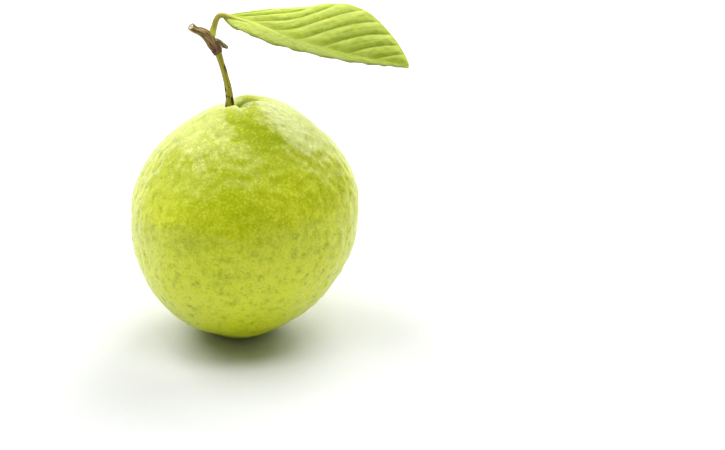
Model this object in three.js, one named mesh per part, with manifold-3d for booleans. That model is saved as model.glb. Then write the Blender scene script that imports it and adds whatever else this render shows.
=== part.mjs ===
// A whole guava as picked: the fruit, its stalk, a cut piece of twig, one leaf and the dried calyx.
// Millimetres, +Z up. The origin is the middle of the small flat spot that the fruit rests on.
import * as THREE from 'three';
import { mergeVertices } from 'three/addons/utils/BufferGeometryUtils.js';
import Module from 'manifold-3d';

const wasm = await Module();
wasm.setup();

const RAD = Math.PI / 180;
const GAP = 0.3; // clearance between pieces that grow on each other

// ---- driving dimensions -------------------------------------------------------------------------

// Body of the fruit: a pear-like solid of revolution whose axis leans and bows a little.
const GIRTH = 40.7; // radius at the waist before taper
const CROWN = 40.2; // waist to stalk end
const BASE = 56.1; // waist to blossom end
const TAPER = -0.186; // thinner towards the stalk
const BULGE = -0.182; // fuller round the waist than an ellipsoid
const LEAN = 2.63; // shift of the stalk end along +X
const BOW = -1.0; // both ends set back from the waist
const RIB = 0.021; // three soft ribs, as a share of the radius
const RIB_TURN = 11 * RAD;
const SPOT_DEPTH = 1.0; // how far the flat spot is pressed in: it comes out 15 mm across

// Stalk end: a shallow cavity with a pit, and three creases that run out between four soft lobes.
const STEM = { x: -0.6, y: -1.0 };
const CAVITY = { depth: 2.0, radius: 8.5 };
const PIT = { depth: 0.9, radius: 3.2 };
const CREASES = [
  { x: 0.5, y: 0.3, turn: 12, length: 18, width: 3.4, depth: 2.4 },
  { x: 0.5, y: -0.5, turn: -48, length: 14, width: 3.0, depth: 1.6 },
  { x: -1.3, y: 1.5, turn: 103, length: 24, width: 5.5, depth: 2.4 },
];
const SHOULDER = { x: -9.5, y: 13, width: 9, length: 12, depth: 1.0 }; // sunken back left shoulder

// Blossom end: a small basin on the back right of the underside, ringed by five dried sepals.
const BLOSSOM = { fall: 0.43, turn: 45 * RAD, tilt: 35 * RAD };
const BASIN = { depth: 3.0, floor: 3.4, mouth: 6.6, rim: 0.4, rimWidth: 2.2 };
const SEPALS = 5;
const SEPAL = { root: 5.3, tip: 1.9, halfAngle: 29 * RAD, thickness: 0.6, arch: 1.0 };
const STYLE = { height: 1.9, radius: 0.55 };

// Stalk, twig, side stub and leaf stalk: middle lines, and radii at even steps along them.
const STALK_LINE = [
  [-0.7, -1.0, 89.0],
  [-0.65, -1.0, 94.4],
  [-0.85, -1.0, 97.3],
  [-1.55, -0.8, 101.1],
  [-2.55, -0.5, 104.9],
  [-3.6, -0.2, 108.9],
  [-4.4, 0.0, 111.8],
];
const STALK_RADII = [1.9, 1.75, 1.5, 1.42, 1.25, 1.17, 1.2, 1.4, 1.5];
const TWIG_LINE = [
  [-4.25, 0.0, 111.0],
  [-5.2, 0.0, 113.1],
  [-6.25, -0.2, 114.9],
  [-7.55, -0.6, 117.0],
  [-9.4, -1.1, 119.0],
  [-11.8, -1.7, 120.4],
  [-13.7, -2.2, 121.7],
];
const TWIG_RADII = [1.6, 2.1, 2.35, 2.3, 2.0, 1.9, 1.85, 1.7, 1.5, 1.45, 1.5];
const STUB_LINE = [
  [-4.7, -0.9, 116.2],
  [-3.4, -1.2, 115.6],
  [-2.0, -2.0, 114.6],
  [-0.5, -2.8, 113.9],
];
const STUB_RADII = [0.95, 0.9, 0.8, 0.85, 0.7];
const PETIOLE_LINE = [
  [-6.7, 0.1, 117.0],
  [-6.25, 0.2, 118.6],
  [-5.55, 0.5, 121.2],
  [-4.8, 0.7, 123.5],
  [-3.4, 0.4, 125.2],
  [-1.1, -0.3, 125.4],
];
const PETIOLE_RADII = [1.3, 1.2, 1.15, 1.15, 1.1, 1.0];

// Leaf: the midrib's line, the blade's widest half, and how steeply each half rises from the midrib.
const MIDRIB_LINE = [
  [-2.7, 0.2, 125.5],
  [4.5, -2.6, 124.4],
  [12.3, -6.0, 122.7],
  [22.5, -10.6, 119.3],
  [35.0, -16.1, 117.1],
  [50.5, -23.3, 115.2],
  [65.0, -30.0, 114.8],
];
const MIDRIB_RADII = [0.95, 0.85, 0.7, 0.55, 0.45, 0.35];
const LEAF = { halfWidth: 20, thickness: 0.6, sharpness: 0.85, arch: 0.07 };
const FAR_RISE = { base: 15 * RAD, tip: 54 * RAD }; // the half away from the front
const NEAR_RISE = { base: -34 * RAD, rest: 14.5 * RAD, within: 0.13 }; // droops only close to the base

// ---- helpers ------------------------------------------------------------------------------------

const bell = (distance, radius) => Math.exp(-((distance / radius) ** 2));
const smooth = (low, high, value) => THREE.MathUtils.smoothstep(value, low, high);
const mix = THREE.MathUtils.lerp;
const point = ([x, y, z]) => new THREE.Vector3(x, y, z);
const curve = (line) => new THREE.CatmullRomCurve3(line.map(point), false, 'centripetal');

function solid(geometry) {
  const plain = geometry.clone();
  plain.deleteAttribute('normal');
  plain.deleteAttribute('uv');
  const merged = mergeVertices(plain, 1e-4);
  const mesh = new wasm.Mesh({
    numProp: 3,
    vertProperties: Float32Array.from(merged.attributes.position.array),
    triVerts: Uint32Array.from(merged.index.array),
  });
  return new wasm.Manifold(mesh);
}

function geometryOf(manifold) {
  const mesh = manifold.getMesh();
  const geometry = new THREE.BufferGeometry();
  geometry.setAttribute('position', new THREE.BufferAttribute(mesh.vertProperties, 3));
  geometry.setIndex(new THREE.BufferAttribute(mesh.triVerts, 1));
  geometry.computeVertexNormals();
  return geometry;
}

// Moves every vertex of a geometry to place(its old position, its uv).
function reshape(geometry, place) {
  const { position, uv } = geometry.attributes;
  for (let i = 0; i < position.count; i += 1) {
    const moved = place(new THREE.Vector3().fromBufferAttribute(position, i), uv.getX(i), uv.getY(i));
    position.setXYZ(i, moved.x, moved.y, moved.z);
  }
  geometry.computeVertexNormals();
  return geometry;
}

// A value read between evenly spaced entries of a list, for share 0 to 1.
function along(list, share) {
  const place = THREE.MathUtils.clamp(share, 0, 1) * (list.length - 1);
  const low = Math.min(Math.floor(place), list.length - 2);
  return mix(list[low], list[low + 1], place - low);
}

// Two directions square to a curve at a share of its length; the first lies nearest to +Y.
function crossAxes(path, share) {
  const ahead = path.getTangentAt(share);
  const side = new THREE.Vector3(0, 1, 0).addScaledVector(ahead, -ahead.y).normalize();
  const up = new THREE.Vector3().crossVectors(side, ahead);
  return { ahead, side, up };
}

// A woody limb: a lathe profile of the given radii, bent along a curve. extra swells it all round.
function limb(line, radii, { sides = 12, rings = 14, extra = 0 } = {}) {
  const path = curve(line);
  const length = path.getLength();
  const profile = [new THREE.Vector2(0, -extra / length)];
  for (let ring = 0; ring <= rings; ring += 1) {
    const share = ring / rings;
    const height = share + ((2 * share - 1) * extra) / length;
    profile.push(new THREE.Vector2(along(radii, share) + extra, height));
  }
  profile.push(new THREE.Vector2(0, 1 + extra / length));
  return reshape(new THREE.LatheGeometry(profile, sides), (vertex) => {
    const share = THREE.MathUtils.clamp(vertex.y, 0, 1);
    const { ahead, side, up } = crossAxes(path, share);
    return path
      .getPointAt(share)
      .addScaledVector(ahead, (vertex.y - share) * length)
      .addScaledVector(side, vertex.x)
      .addScaledVector(up, vertex.z);
  });
}

// ---- fruit --------------------------------------------------------------------------------------

// Plain body, before the hollows at its two ends. fall runs from 0 at the stalk end to pi.
function bodyPoint(fall, turn) {
  const c = Math.cos(fall);
  const s = Math.sin(fall);
  const rib = 1 + RIB * Math.cos(3 * (turn - RIB_TURN)) * s * s;
  const radius = GIRTH * s * (1 + TAPER * c + BULGE * (c * c - 1 / 3)) * rib;
  return new THREE.Vector3(
    LEAN - BOW + radius * Math.cos(turn) + LEAN * c + BOW * c * c,
    radius * Math.sin(turn),
    BASE - SPOT_DEPTH + (c > 0 ? CROWN : BASE) * c,
  );
}

// Depth of one crease: a valley that starts at the stalk and fades along its length.
function creaseDepth({ x, y, turn, length, width, depth }, px, py) {
  const cos = Math.cos(turn * RAD);
  const sin = Math.sin(turn * RAD);
  const run = (px - x) * cos + (py - y) * sin;
  const off = Math.abs((py - y) * cos - (px - x) * sin);
  const fade = run < 0 ? bell(run, 0.35 * width) : Math.exp(-1.6 * (run / length) ** 2);
  const spread = width * mix(0.6, 1, THREE.MathUtils.clamp(run / length, 0, 1));
  return depth * fade * Math.exp(-((off / spread) ** 1.6));
}

// How far the stalk end is sunk at a place seen from above.
function crownSink(x, y) {
  const reach = Math.hypot(x - STEM.x, y - STEM.y);
  const shoulder = Math.hypot((x - SHOULDER.x) / SHOULDER.width, (y - SHOULDER.y) / SHOULDER.length);
  const cavity = CAVITY.depth * bell(reach, CAVITY.radius) + PIT.depth * bell(reach, PIT.radius);
  const creases = CREASES.reduce((sum, crease) => sum + creaseDepth(crease, x, y), 0);
  return cavity + creases + SHOULDER.depth * bell(shoulder, 1);
}

const blossomCentre = bodyPoint(Math.PI - BLOSSOM.fall, BLOSSOM.turn);
const blossomOut = new THREE.Vector3(
  Math.sin(BLOSSOM.tilt) * Math.cos(BLOSSOM.turn),
  Math.sin(BLOSSOM.tilt) * Math.sin(BLOSSOM.turn),
  -Math.cos(BLOSSOM.tilt),
);
const blossomSide = new THREE.Vector3(-Math.sin(BLOSSOM.turn), Math.cos(BLOSSOM.turn), 0);
const blossomUp = new THREE.Vector3().crossVectors(blossomOut, blossomSide);

function skinPoint(fall, turn) {
  const place = bodyPoint(fall, turn);
  const c = Math.cos(fall);
  const crown = THREE.MathUtils.clamp(1.6 * c - 0.3, 0, 1);
  if (crown > 0) place.z -= crown * crownSink(place.x, place.y);
  if (c < 0) {
    const offset = place.clone().sub(blossomCentre);
    const reach = offset.addScaledVector(blossomOut, -offset.dot(blossomOut)).length();
    place.addScaledVector(blossomOut, BASIN.rim * bell(reach - BASIN.mouth, BASIN.rimWidth));
  }
  return place;
}

// Height of the basin's floor and wall over the plane that touches the body at its middle.
function basinHeight(reach) {
  return -BASIN.depth * (1 - smooth(BASIN.floor, BASIN.mouth + 1.6, reach));
}

// A place in the basin from its radius, its turn round the blossom axis and its height along it.
function inBasin(reach, turn, height) {
  return blossomCentre
    .clone()
    .addScaledVector(blossomSide, reach * Math.cos(turn))
    .addScaledVector(blossomUp, reach * Math.sin(turn))
    .addScaledVector(blossomOut, height);
}

// The hollow of the basin as a solid: its wall and floor, closed by a lid clear of the fruit.
function basinHollow(raise) {
  const profile = [new THREE.Vector2(0, basinHeight(0) + raise)];
  for (let step = 0; step <= 8; step += 1) {
    const reach = mix(BASIN.floor, BASIN.mouth + 1.4, step / 8);
    profile.push(new THREE.Vector2(reach, basinHeight(reach) + raise));
  }
  profile.push(new THREE.Vector2(BASIN.mouth + 1.4, 3), new THREE.Vector2(0, 3));
  return reshape(new THREE.LatheGeometry(profile, 40), (vertex) =>
    inBasin(Math.hypot(vertex.x, vertex.z), -Math.atan2(vertex.z, vertex.x), vertex.y),
  );
}

function fruit() {
  const skin = reshape(new THREE.SphereGeometry(1, 60, 50), (vertex, across, down) => {
    const share = 1 - down;
    const fall = Math.PI * (share - 0.07 * Math.sin(2 * Math.PI * share)); // finer near both ends
    return skinPoint(fall, 2 * Math.PI * across);
  });
  const table = new THREE.BoxGeometry(200, 200, 20).translate(0, 0, -10);
  const foot = limb(STALK_LINE, STALK_RADII, { extra: GAP });
  const hollows = [table, foot, basinHollow(0)];
  return geometryOf(hollows.reduce((left, hollow) => left.subtract(solid(hollow)), solid(skin)));
}

// ---- blossom remains ----------------------------------------------------------------------------

// One dried sepal: a tapering flake that leans in over the basin from its wall.
function sepal(number) {
  const middle = ((number + 0.25) / SEPALS) * 2 * Math.PI;
  const foot = basinHeight(SEPAL.root) + GAP + SEPAL.thickness / 2;
  const flake = reshape(new THREE.BoxGeometry(1, 1, 1, 4, 6, 1), (vertex) => {
    const share = vertex.y + 0.5;
    const reach = mix(SEPAL.root, SEPAL.tip, share);
    const turn = middle + 2 * vertex.x * SEPAL.halfAngle * (1 - 0.55 * share);
    const bend = SEPAL.arch * Math.sin(0.75 * Math.PI * share) - 1.1 * share;
    return inBasin(reach, turn, foot + bend + vertex.z * SEPAL.thickness);
  });
  return geometryOf(solid(flake).intersect(solid(basinHollow(GAP))));
}

function styleRemnant() {
  const foot = inBasin(0, 0, -BASIN.depth + GAP);
  const top = inBasin(0.3, 1, -BASIN.depth + GAP + STYLE.height);
  const middle = foot.clone().lerp(top, 0.5);
  const line = [foot, middle, top].map((place) => place.toArray());
  return limb(line, [1.4 * STYLE.radius, STYLE.radius, 0.8 * STYLE.radius], { sides: 8, rings: 4 });
}

// ---- stalk, twig and stub -----------------------------------------------------------------------

function twig() {
  return limb(TWIG_LINE, TWIG_RADII, { sides: 14, rings: 18 });
}

// A limb cut back so that it stays clear of the twig it grows from.
function offTwig(geometry) {
  const reserved = limb(TWIG_LINE, TWIG_RADII, { sides: 14, rings: 18, extra: GAP });
  return solid(geometry).subtract(solid(reserved));
}

function fruitStalk() {
  return geometryOf(offTwig(limb(STALK_LINE, STALK_RADII, { rings: 16 })));
}

function budStub() {
  return geometryOf(offTwig(limb(STUB_LINE, STUB_RADII, { sides: 10, rings: 6 })));
}

// ---- leaf ---------------------------------------------------------------------------------------

const midrib = curve(MIDRIB_LINE);

// Half width of the blade: rises straight from the base, and falls almost straight to the tip.
function leafHalfWidth(share) {
  const widest = 1 / (1 + LEAF.sharpness);
  const shape = (u) => u * (1 - u) ** LEAF.sharpness;
  return Math.max(0.5, (LEAF.halfWidth * shape(share)) / shape(widest));
}

const farRise = (share) => mix(FAR_RISE.base, FAR_RISE.tip, smooth(0, 0.8, share));
const nearRise = (share) => mix(NEAR_RISE.rest, NEAR_RISE.base, Math.exp(-share / NEAR_RISE.within));

// Blade point: share runs along the midrib, across from -1 on the near edge to 1 on the far edge.
function bladePoint(share, across, height) {
  const ahead = midrib.getTangentAt(share);
  const far = new THREE.Vector3(-ahead.y, ahead.x, 0).normalize();
  const up = new THREE.Vector3().crossVectors(ahead, far);
  const rise = across > 0 ? farRise(share) : nearRise(share);
  const reach = Math.abs(across) * leafHalfWidth(share);
  const arch = LEAF.arch * leafHalfWidth(share) * Math.sin(Math.PI * Math.abs(across));
  return midrib
    .getPointAt(share)
    .addScaledVector(far, Math.sign(across) * (reach * Math.cos(rise) - arch * Math.sin(rise)))
    .addScaledVector(up, reach * Math.sin(rise) + arch * Math.cos(rise) + height);
}

function leaf() {
  const blade = reshape(new THREE.BoxGeometry(1, 1, 1, 24, 10, 1), (vertex) =>
    bladePoint(mix(0.015, 1, vertex.x + 0.5), 2 * vertex.y, vertex.z * LEAF.thickness),
  );
  const rib = limb(MIDRIB_LINE, MIDRIB_RADII, { sides: 8, rings: 14 });
  const petiole = limb(PETIOLE_LINE, PETIOLE_RADII, { sides: 10, rings: 12 });
  return geometryOf(solid(blade).add(solid(rib)).add(offTwig(petiole)));
}

// ---- assembly -----------------------------------------------------------------------------------

function part(name, geometry, color, roughness) {
  const mesh = new THREE.Mesh(geometry, new THREE.MeshStandardMaterial({ color, roughness, metalness: 0 }));
  mesh.name = name;
  return mesh;
}

const guava = new THREE.Group();
guava.name = 'guava';
guava.add(
  part('fruit', fruit(), 0xc0c93a, 0.42),
  part('fruit_stalk', fruitStalk(), 0x9d9a3c, 0.6),
  part('twig', twig(), 0x80653c, 0.85),
  part('bud_stub', budStub(), 0x6f6748, 0.85),
  part('leaf', leaf(), 0xc3d35b, 0.5),
  part('style_remnant', styleRemnant(), 0x5c4324, 0.9),
);
for (let number = 0; number < SEPALS; number += 1) {
  guava.add(part(`sepal_${number + 1}`, sepal(number), 0x6e5a30, 0.9));
}

export default guava;
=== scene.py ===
import math

import bpy
import numpy as np
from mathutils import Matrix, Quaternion, Vector


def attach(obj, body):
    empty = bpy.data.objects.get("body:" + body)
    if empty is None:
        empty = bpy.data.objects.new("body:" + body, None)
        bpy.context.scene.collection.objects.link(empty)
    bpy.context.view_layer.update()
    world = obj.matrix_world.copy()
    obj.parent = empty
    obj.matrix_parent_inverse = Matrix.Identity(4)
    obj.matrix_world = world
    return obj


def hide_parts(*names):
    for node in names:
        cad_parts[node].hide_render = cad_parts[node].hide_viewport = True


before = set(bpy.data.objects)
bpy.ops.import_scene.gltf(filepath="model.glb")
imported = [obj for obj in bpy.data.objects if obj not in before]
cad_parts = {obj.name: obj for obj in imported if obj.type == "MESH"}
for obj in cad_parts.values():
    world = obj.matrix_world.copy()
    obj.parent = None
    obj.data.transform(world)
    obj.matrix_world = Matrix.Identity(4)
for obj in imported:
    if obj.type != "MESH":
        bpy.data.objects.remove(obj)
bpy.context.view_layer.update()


# ---- Fruit --------------------------------------------------------------------------------------
# A large white guava, grown in one piece: firm flesh under a thin waxy skin. It is a pear-like body on an
# axis that leans a little, with three soft ribs, lobes round the stalk, a basin at the blossom end and a
# small flat spot to rest on. Lengths are millimetres, until closed_piece makes the mesh in metres.

MM = 0.001

GIRTH = 40.7  # radius at the waist before taper
CROWN = 40.2  # waist to stalk end
BASE = 56.1  # waist to blossom end
TAPER = -0.186  # thinner towards the stalk
BULGE = -0.182  # fuller round the waist than an ellipsoid
LEAN = 2.63  # shift of the stalk end along +X
BOW = -1.0  # both ends set back from the waist
RIB = 0.021  # height of the three ribs, as a share of the radius
RIB_TURN = math.radians(11)
SPOT_DEPTH = 1.0  # how far the flat spot is pressed in
SPOT_BLEND = 0.3  # rounding between the flat spot and the flank

STEM = (-0.6, -1.0)
ON_CROWN = 80  # height above which the skin belongs to the stalk end
ABOVE_WAIST = 60  # and above which the furrow between the lobes shows
CAVITY = (2.0, 8.5)  # depth and radius of the hollow round the stalk
PIT = (0.9, 3.2)  # and of the pit in its middle
PIT_CORNER = (2.6, -2.2, 1.3)  # x, y and radius of the pit's corner that is painted in shade
# Creases that run out between the lobes: x and y of the start, turn in degrees, length, width and depth.
CREASES = [
    (0.5, 0.3, 12, 18, 3.4, 2.4),
    (0.5, -0.5, -48, 14, 3.0, 1.6),
    (-1.3, 1.5, 103, 24, 5.5, 2.4),
]
SHOULDER = (-9.5, 13, 9, 12, 1.0)  # x, y, half width, half length and depth of the low shoulder back left
# Lines along which one lobe laps over the next. On one side of a line the skin is lifted by "lift" over a
# width "lip"; on the other, its left where "side" is 1, it is sunk by "drop" over a width "hollow". "edge"
# rounds the step between.
FOLDS = [
    {
        "line": [
            (1.2, -2.0), (3.2, -3.4), (5.2, -3.9), (7.5, -3.9),
            (10.8, -3.5), (14.4, -2.6), (18.0, -1.2), (22.0, 1.0),
        ],
        "lift": 0.3, "lip": 2.5, "drop": 1.6, "hollow": 3.0, "edge": 0.25, "side": 1,
    },
    {
        "line": [(0.6, -2.4), (2.2, -5.4), (3.8, -8.4), (5.4, -11.4), (6.6, -14.0)],
        "lift": 0.4, "lip": 1.5, "drop": 0.6, "hollow": 3.4, "edge": 0.25, "side": 1,
    },
]
# Painted shade, laid out in the same way: behind the first lip, and in the furrow between two such lines.
LIP_SHADOW = {**FOLDS[0], "lift": 0, "drop": 0.8, "hollow": 0.8}
FURROW = [
    {
        "line": [
            (-3.2, -7.0), (-2.0, -11.0), (0.5, -16.5), (3.5, -21.0),
            (8.0, -25.0), (13.0, -30.0), (18.0, -35.5), (23.0, -41.0),
        ],
        "lift": 0, "lip": 1, "drop": 1, "hollow": 40.0, "edge": 1.0, "side": 1,
    },
    {
        "line": [
            (3.5, -7.5), (6.5, -10.0), (11.0, -14.0), (16.5, -16.5), (20.0, -18.5),
            (22.0, -21.0), (24.5, -24.5), (27.0, -28.0), (29.0, -32.0), (31.0, -36.0),
        ],
        "lift": 0, "lip": 1, "drop": 1, "hollow": 13.0, "edge": 1.0, "side": -1,
    },
]
DENT = (-5.2, 85.6, 3.8, 1.3, 0.65)  # x, z, half width, half height and depth of a dent in the front lobe
BLOOM = ((-32, -19, 66), 21)  # middle and radius of a pale patch: painted sheen where the wax bloom is thickest
WORN = ((-1, -36, 68), 18)  # of the one where it is rubbed off
FLECKED = ((-11.5, -23, 81), 14)  # and of the one with pale flecks, which are painted highlights
RIPER = (62, 35)  # heights between which the skin is painted lighter and yellower, downwards: painted light
DULLER = (32, 8)  # and painted darker and duller on the underside: painted shade
CROWN_BUMPS = (55, 85)  # heights between which the bumps of the stalk end set in
SMOOTHER_LOBE = (0, 12)  # along X, where they calm down to half their height on the lobe at the right
FURROW_STARTS = (4, 8)  # distances from the stalk between which the furrow sets in

BLOSSOM_FALL = 0.43  # where the basin lies, from the underside's middle
BLOSSOM_TURN = math.radians(45)
BLOSSOM_TILT = math.radians(35)
BASIN_DEPTH = 3.0
BASIN_FLOOR = 3.4  # radius of its flat floor
BASIN_MOUTH = 6.6  # radius of its rounded rim
BASIN_EDGE = 8.2  # radius at which its wall has run out
BASIN_BLEND = 0.35  # rounding between the basin's own surface and the body
RIM_HEIGHT = 0.4
RIM_WIDTH = 2.2
RIM_END = (7.8, 9.5)  # radii between which the basin gives way to the body
PLEATS = (9, 0.12, 5.6, 1.8)  # puckers in its wall: number, height, radius at which they lie, and width

SKIN_ROWS = 280  # rings from the stalk end to the blossom end
SKIN_COLUMNS = 356
SKIN_DENSER = 0.07  # how much closer the rings lie near both ends
SKIN_INSET = 0.28  # how far the skin lies inside the plain body, so that its bumps stay inside it


def bell(distance, radius):
    """One at no distance, falling off smoothly: exp(-(distance / radius)^2)."""
    return np.exp(-((distance / radius) ** 2))


def smooth(low, high, value):
    """Zero below low, one above high, and an S-shaped rise between: 3t^2 - 2t^3."""
    t = np.clip((value - low) / (high - low), 0, 1)
    return t * t * (3 - 2 * t)


def mix(low, high, share):
    """Straight mix of two values."""
    return low + (high - low) * share


def unit(vectors):
    """Vectors of length one in the same directions."""
    return vectors / np.linalg.norm(vectors, axis=-1, keepdims=True)


def waves(places, length, seed, stretch=(1, 1, 1), count=26):
    """Smooth random height whose standard deviation is one: sine waves of about the given length that run
    in random directions, added up. stretch makes the bumps that many times longer along X, Y and Z."""
    source = np.random.default_rng(seed)
    heading = unit(source.normal(size=(count, 3)))
    pace = 2 * np.pi / (length * source.uniform(0.75, 1.35, count))
    start = source.uniform(0, 2 * np.pi, count)
    swing = (places / np.array(stretch)) @ (heading * pace[:, None]).T
    return np.sin(swing + start).sum(-1) * math.sqrt(2 / count)


def body(fall, turn):
    """Plain body: a solid of revolution on a bowed, leaning axis. Its radius is a sine with taper and
    bulge. fall runs from 0 at the stalk end to pi, turn goes round from +X towards +Y."""
    c, s = np.cos(fall), np.sin(fall)
    rib = 1 + RIB * np.cos(3 * (turn - RIB_TURN)) * s * s
    radius = GIRTH * s * (1 + TAPER * c + BULGE * (c * c - 1 / 3)) * rib
    x = LEAN - BOW + radius * np.cos(turn) + LEAN * c + BOW * c * c
    z = BASE - SPOT_DEPTH + np.where(c > 0, CROWN, BASE) * c
    return np.stack([x, radius * np.sin(turn), z], -1)


def crease_depth(crease, x, y):
    """Depth of a valley that starts at the stalk, widens a little and fades out. Across it is a bell."""
    start_x, start_y, turn, length, width, depth = crease
    cos, sin = math.cos(math.radians(turn)), math.sin(math.radians(turn))
    run = (x - start_x) * cos + (y - start_y) * sin
    off = np.abs((y - start_y) * cos - (x - start_x) * sin)
    fade = np.where(run < 0, bell(run, 0.35 * width), np.exp(-1.6 * (run / length) ** 2))
    spread = width * mix(0.6, 1, np.clip(run / length, 0, 1))
    return depth * fade * np.exp(-((off / spread) ** 1.6))


def crown_sink(x, y):
    """How far the stalk end is sunk at a place seen from above: cavity, pit, creases and back shoulder."""
    reach = np.hypot(x - STEM[0], y - STEM[1])
    shoulder = np.hypot((x - SHOULDER[0]) / SHOULDER[2], (y - SHOULDER[1]) / SHOULDER[3])
    sink = CAVITY[0] * bell(reach, CAVITY[1]) + PIT[0] * bell(reach, PIT[1])
    sink = sink + sum(crease_depth(crease, x, y) for crease in CREASES)
    return sink + SHOULDER[4] * bell(shoulder, 1)


def fold_relief(fold, x, y):
    """Relief of a fold. On one side of its line the lip falls off as exp(-distance / lip), and on the
    other the hollow falls off as a bell. Both fade towards the end of the line."""
    points = np.array(fold["line"], float)
    start, run = points[:-1], np.diff(points, axis=0)
    offset = np.stack([x, y], -1)[..., None, :] - start
    along = np.clip((offset * run).sum(-1) / (run * run).sum(-1), 0, 1)
    apart = offset - along[..., None] * run
    distance = np.linalg.norm(apart, axis=-1)
    near = distance.argmin(-1)[..., None]
    turned = run[:, 0] * offset[..., 1] - run[:, 1] * offset[..., 0]
    side = np.sign(np.take_along_axis(turned, near, -1))[..., 0]
    reach = np.take_along_axis(distance, near, -1)[..., 0]
    passed = ((near + np.take_along_axis(along, near, -1)) / len(run))[..., 0]
    over = smooth(-fold["edge"], fold["edge"], fold["side"] * side * reach)
    lip = fold["lift"] * np.exp(-reach / fold["lip"])
    return mix(lip, -fold["drop"] * bell(reach, fold["hollow"]), over) * smooth(1, 0.35, passed)


blossom_centre = body(np.pi - BLOSSOM_FALL, BLOSSOM_TURN)
blossom_out = np.array([
    math.sin(BLOSSOM_TILT) * math.cos(BLOSSOM_TURN),
    math.sin(BLOSSOM_TILT) * math.sin(BLOSSOM_TURN),
    -math.cos(BLOSSOM_TILT),
])
blossom_side = np.array([-math.sin(BLOSSOM_TURN), math.cos(BLOSSOM_TURN), 0])
blossom_up = np.cross(blossom_out, blossom_side)


def basin_height(reach):
    """Height of the basin's floor and wall over the plane that touches the body at its middle."""
    return -BASIN_DEPTH * (1 - smooth(BASIN_FLOOR, BASIN_EDGE, reach))


def in_basin(places):
    """Distance from the basin's axis, height along it and turn round it."""
    offset = places - blossom_centre
    height = offset @ blossom_out
    flat = offset - height[..., None] * blossom_out
    turn = np.arctan2(flat @ blossom_up, flat @ blossom_side)
    return np.linalg.norm(flat, axis=-1), height, turn


def shaped(fall, turn):
    """The body with the hollows of both ends. The crown is lowered by crown_sink, and the basin is the
    lower of the swollen rim and its own puckered surface, with a rounded corner between them."""
    places = body(fall, turn)
    c = np.cos(fall)
    places[..., 2] -= np.clip(1.6 * c - 0.3, 0, 1) * crown_sink(places[..., 0], places[..., 1])
    reach, height, around = in_basin(places)
    below = smooth(0, -0.3, c)
    count, pleat_height, pleat_reach, pleat_width = PLEATS
    pleats = pleat_height * np.cos(count * around + 1.5 * np.sin(2 * around))
    floor = basin_height(reach) + pleats * bell(reach - pleat_reach, pleat_width)
    swollen = height + RIM_HEIGHT * bell(reach - BASIN_MOUTH, RIM_WIDTH)
    lower = 0.5 * (swollen + floor - np.sqrt((swollen - floor) ** 2 + BASIN_BLEND ** 2))
    lower = mix(lower, swollen, smooth(*RIM_END, reach))
    return places + (below * (lower - height))[..., None] * blossom_out


def outward(grid):
    """Directions square to a grid of points that closes on itself along its second axis."""
    down = np.gradient(grid, axis=0)
    sideways = (np.roll(grid, -1, axis=1) - np.roll(grid, 1, axis=1)) / 2
    return unit(np.cross(down, sideways))


def closed_piece(name, rings, material, **fields):
    """A closed object from rings of points, an array (rings, points, 3) in millimetres. Each ring joins
    the next, and the first and last close to their own middles. Materials read fields as attributes."""
    rows, columns = rings.shape[:2]

    def with_ends(grid):
        ends = np.stack([grid[0].mean(0), grid[-1].mean(0)])
        return np.concatenate([grid.reshape(rows * columns, -1), ends.reshape(2, -1)])

    number = np.arange(rows * columns).reshape(rows, columns)
    after = np.roll(number, -1, axis=1)
    sides = np.stack([number[:-1], number[1:], after[1:], after[:-1]], -1).reshape(-1, 4)
    middle = np.full(columns, rows * columns)
    first = np.stack([middle, number[0], after[0]], -1)
    last = np.stack([middle + 1, after[-1], number[-1]], -1)
    mesh = bpy.data.meshes.new(name)
    faces = sides.tolist() + first.tolist() + last.tolist()
    mesh.from_pydata((with_ends(rings) * MM).tolist(), [], faces)
    mesh.polygons.foreach_set("use_smooth", [True] * len(mesh.polygons))
    for field, grid in fields.items():
        values = with_ends(grid).astype(np.float32)
        kind, key = ("FLOAT", "value") if values.shape[1] == 1 else ("FLOAT_VECTOR", "vector")
        mesh.attributes.new(field, kind, "POINT").data.foreach_set(key, values.ravel())
    mesh.materials.append(material)
    made = bpy.data.objects.new(name, mesh)
    bpy.context.scene.collection.objects.link(made)
    return made


def colour(code):
    """An sRGB hex colour as the linear red, green, blue and alpha that Blender wants."""
    parts = [int(code[i:i + 2], 16) / 255 for i in (0, 2, 4)]
    return [p / 12.92 if p <= 0.04045 else ((p + 0.055) / 1.055) ** 2.4 for p in parts] + [1.0]


def wire(item, inputs):
    """Sets a node's sockets, by name or number: to a value, or to a link from a socket or from a node's
    first output in use."""
    for name, value in inputs.items():
        named = [s for s in item.inputs if s.name == name and s.enabled]
        socket = named[0] if named else item.inputs[name]
        if isinstance(value, bpy.types.Node):
            value = next(s for s in value.outputs if s.enabled)
        if isinstance(value, bpy.types.NodeSocket):
            item.id_data.links.new(value, socket)
        else:
            socket.default_value = value


def node(material, kind, inputs, **settings):
    """Adds a shader node with its own settings and its sockets' values or links."""
    made = material.node_tree.nodes.new("ShaderNode" + kind)
    for name, value in settings.items():
        setattr(made, name, value)
    wire(made, inputs)
    return made


def finish(name, constants):
    """A new material and its shader, with the settings that are the same all over the surface."""
    made = bpy.data.materials.new(name)
    made.use_nodes = True
    shader = made.node_tree.nodes["Principled BSDF"]
    wire(shader, constants)
    return made, shader


def tinted(material, under, over, field, low=0.0, high=1.0, most=1.0):
    """The colour under, turned towards the hex colour over by a share that grows from none to most as the
    field goes from low to high."""
    share = node(material, "MapRange", {"Value": field, "From Min": low, "From Max": high, "To Max": most})
    return node(material, "Mix", {"Factor": share, "A": under, "B": colour(over)}, data_type="RGBA")


def per(length):
    """The scale of a pattern whose marks are this many millimetres across."""
    return 1 / (length * MM)


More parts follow.
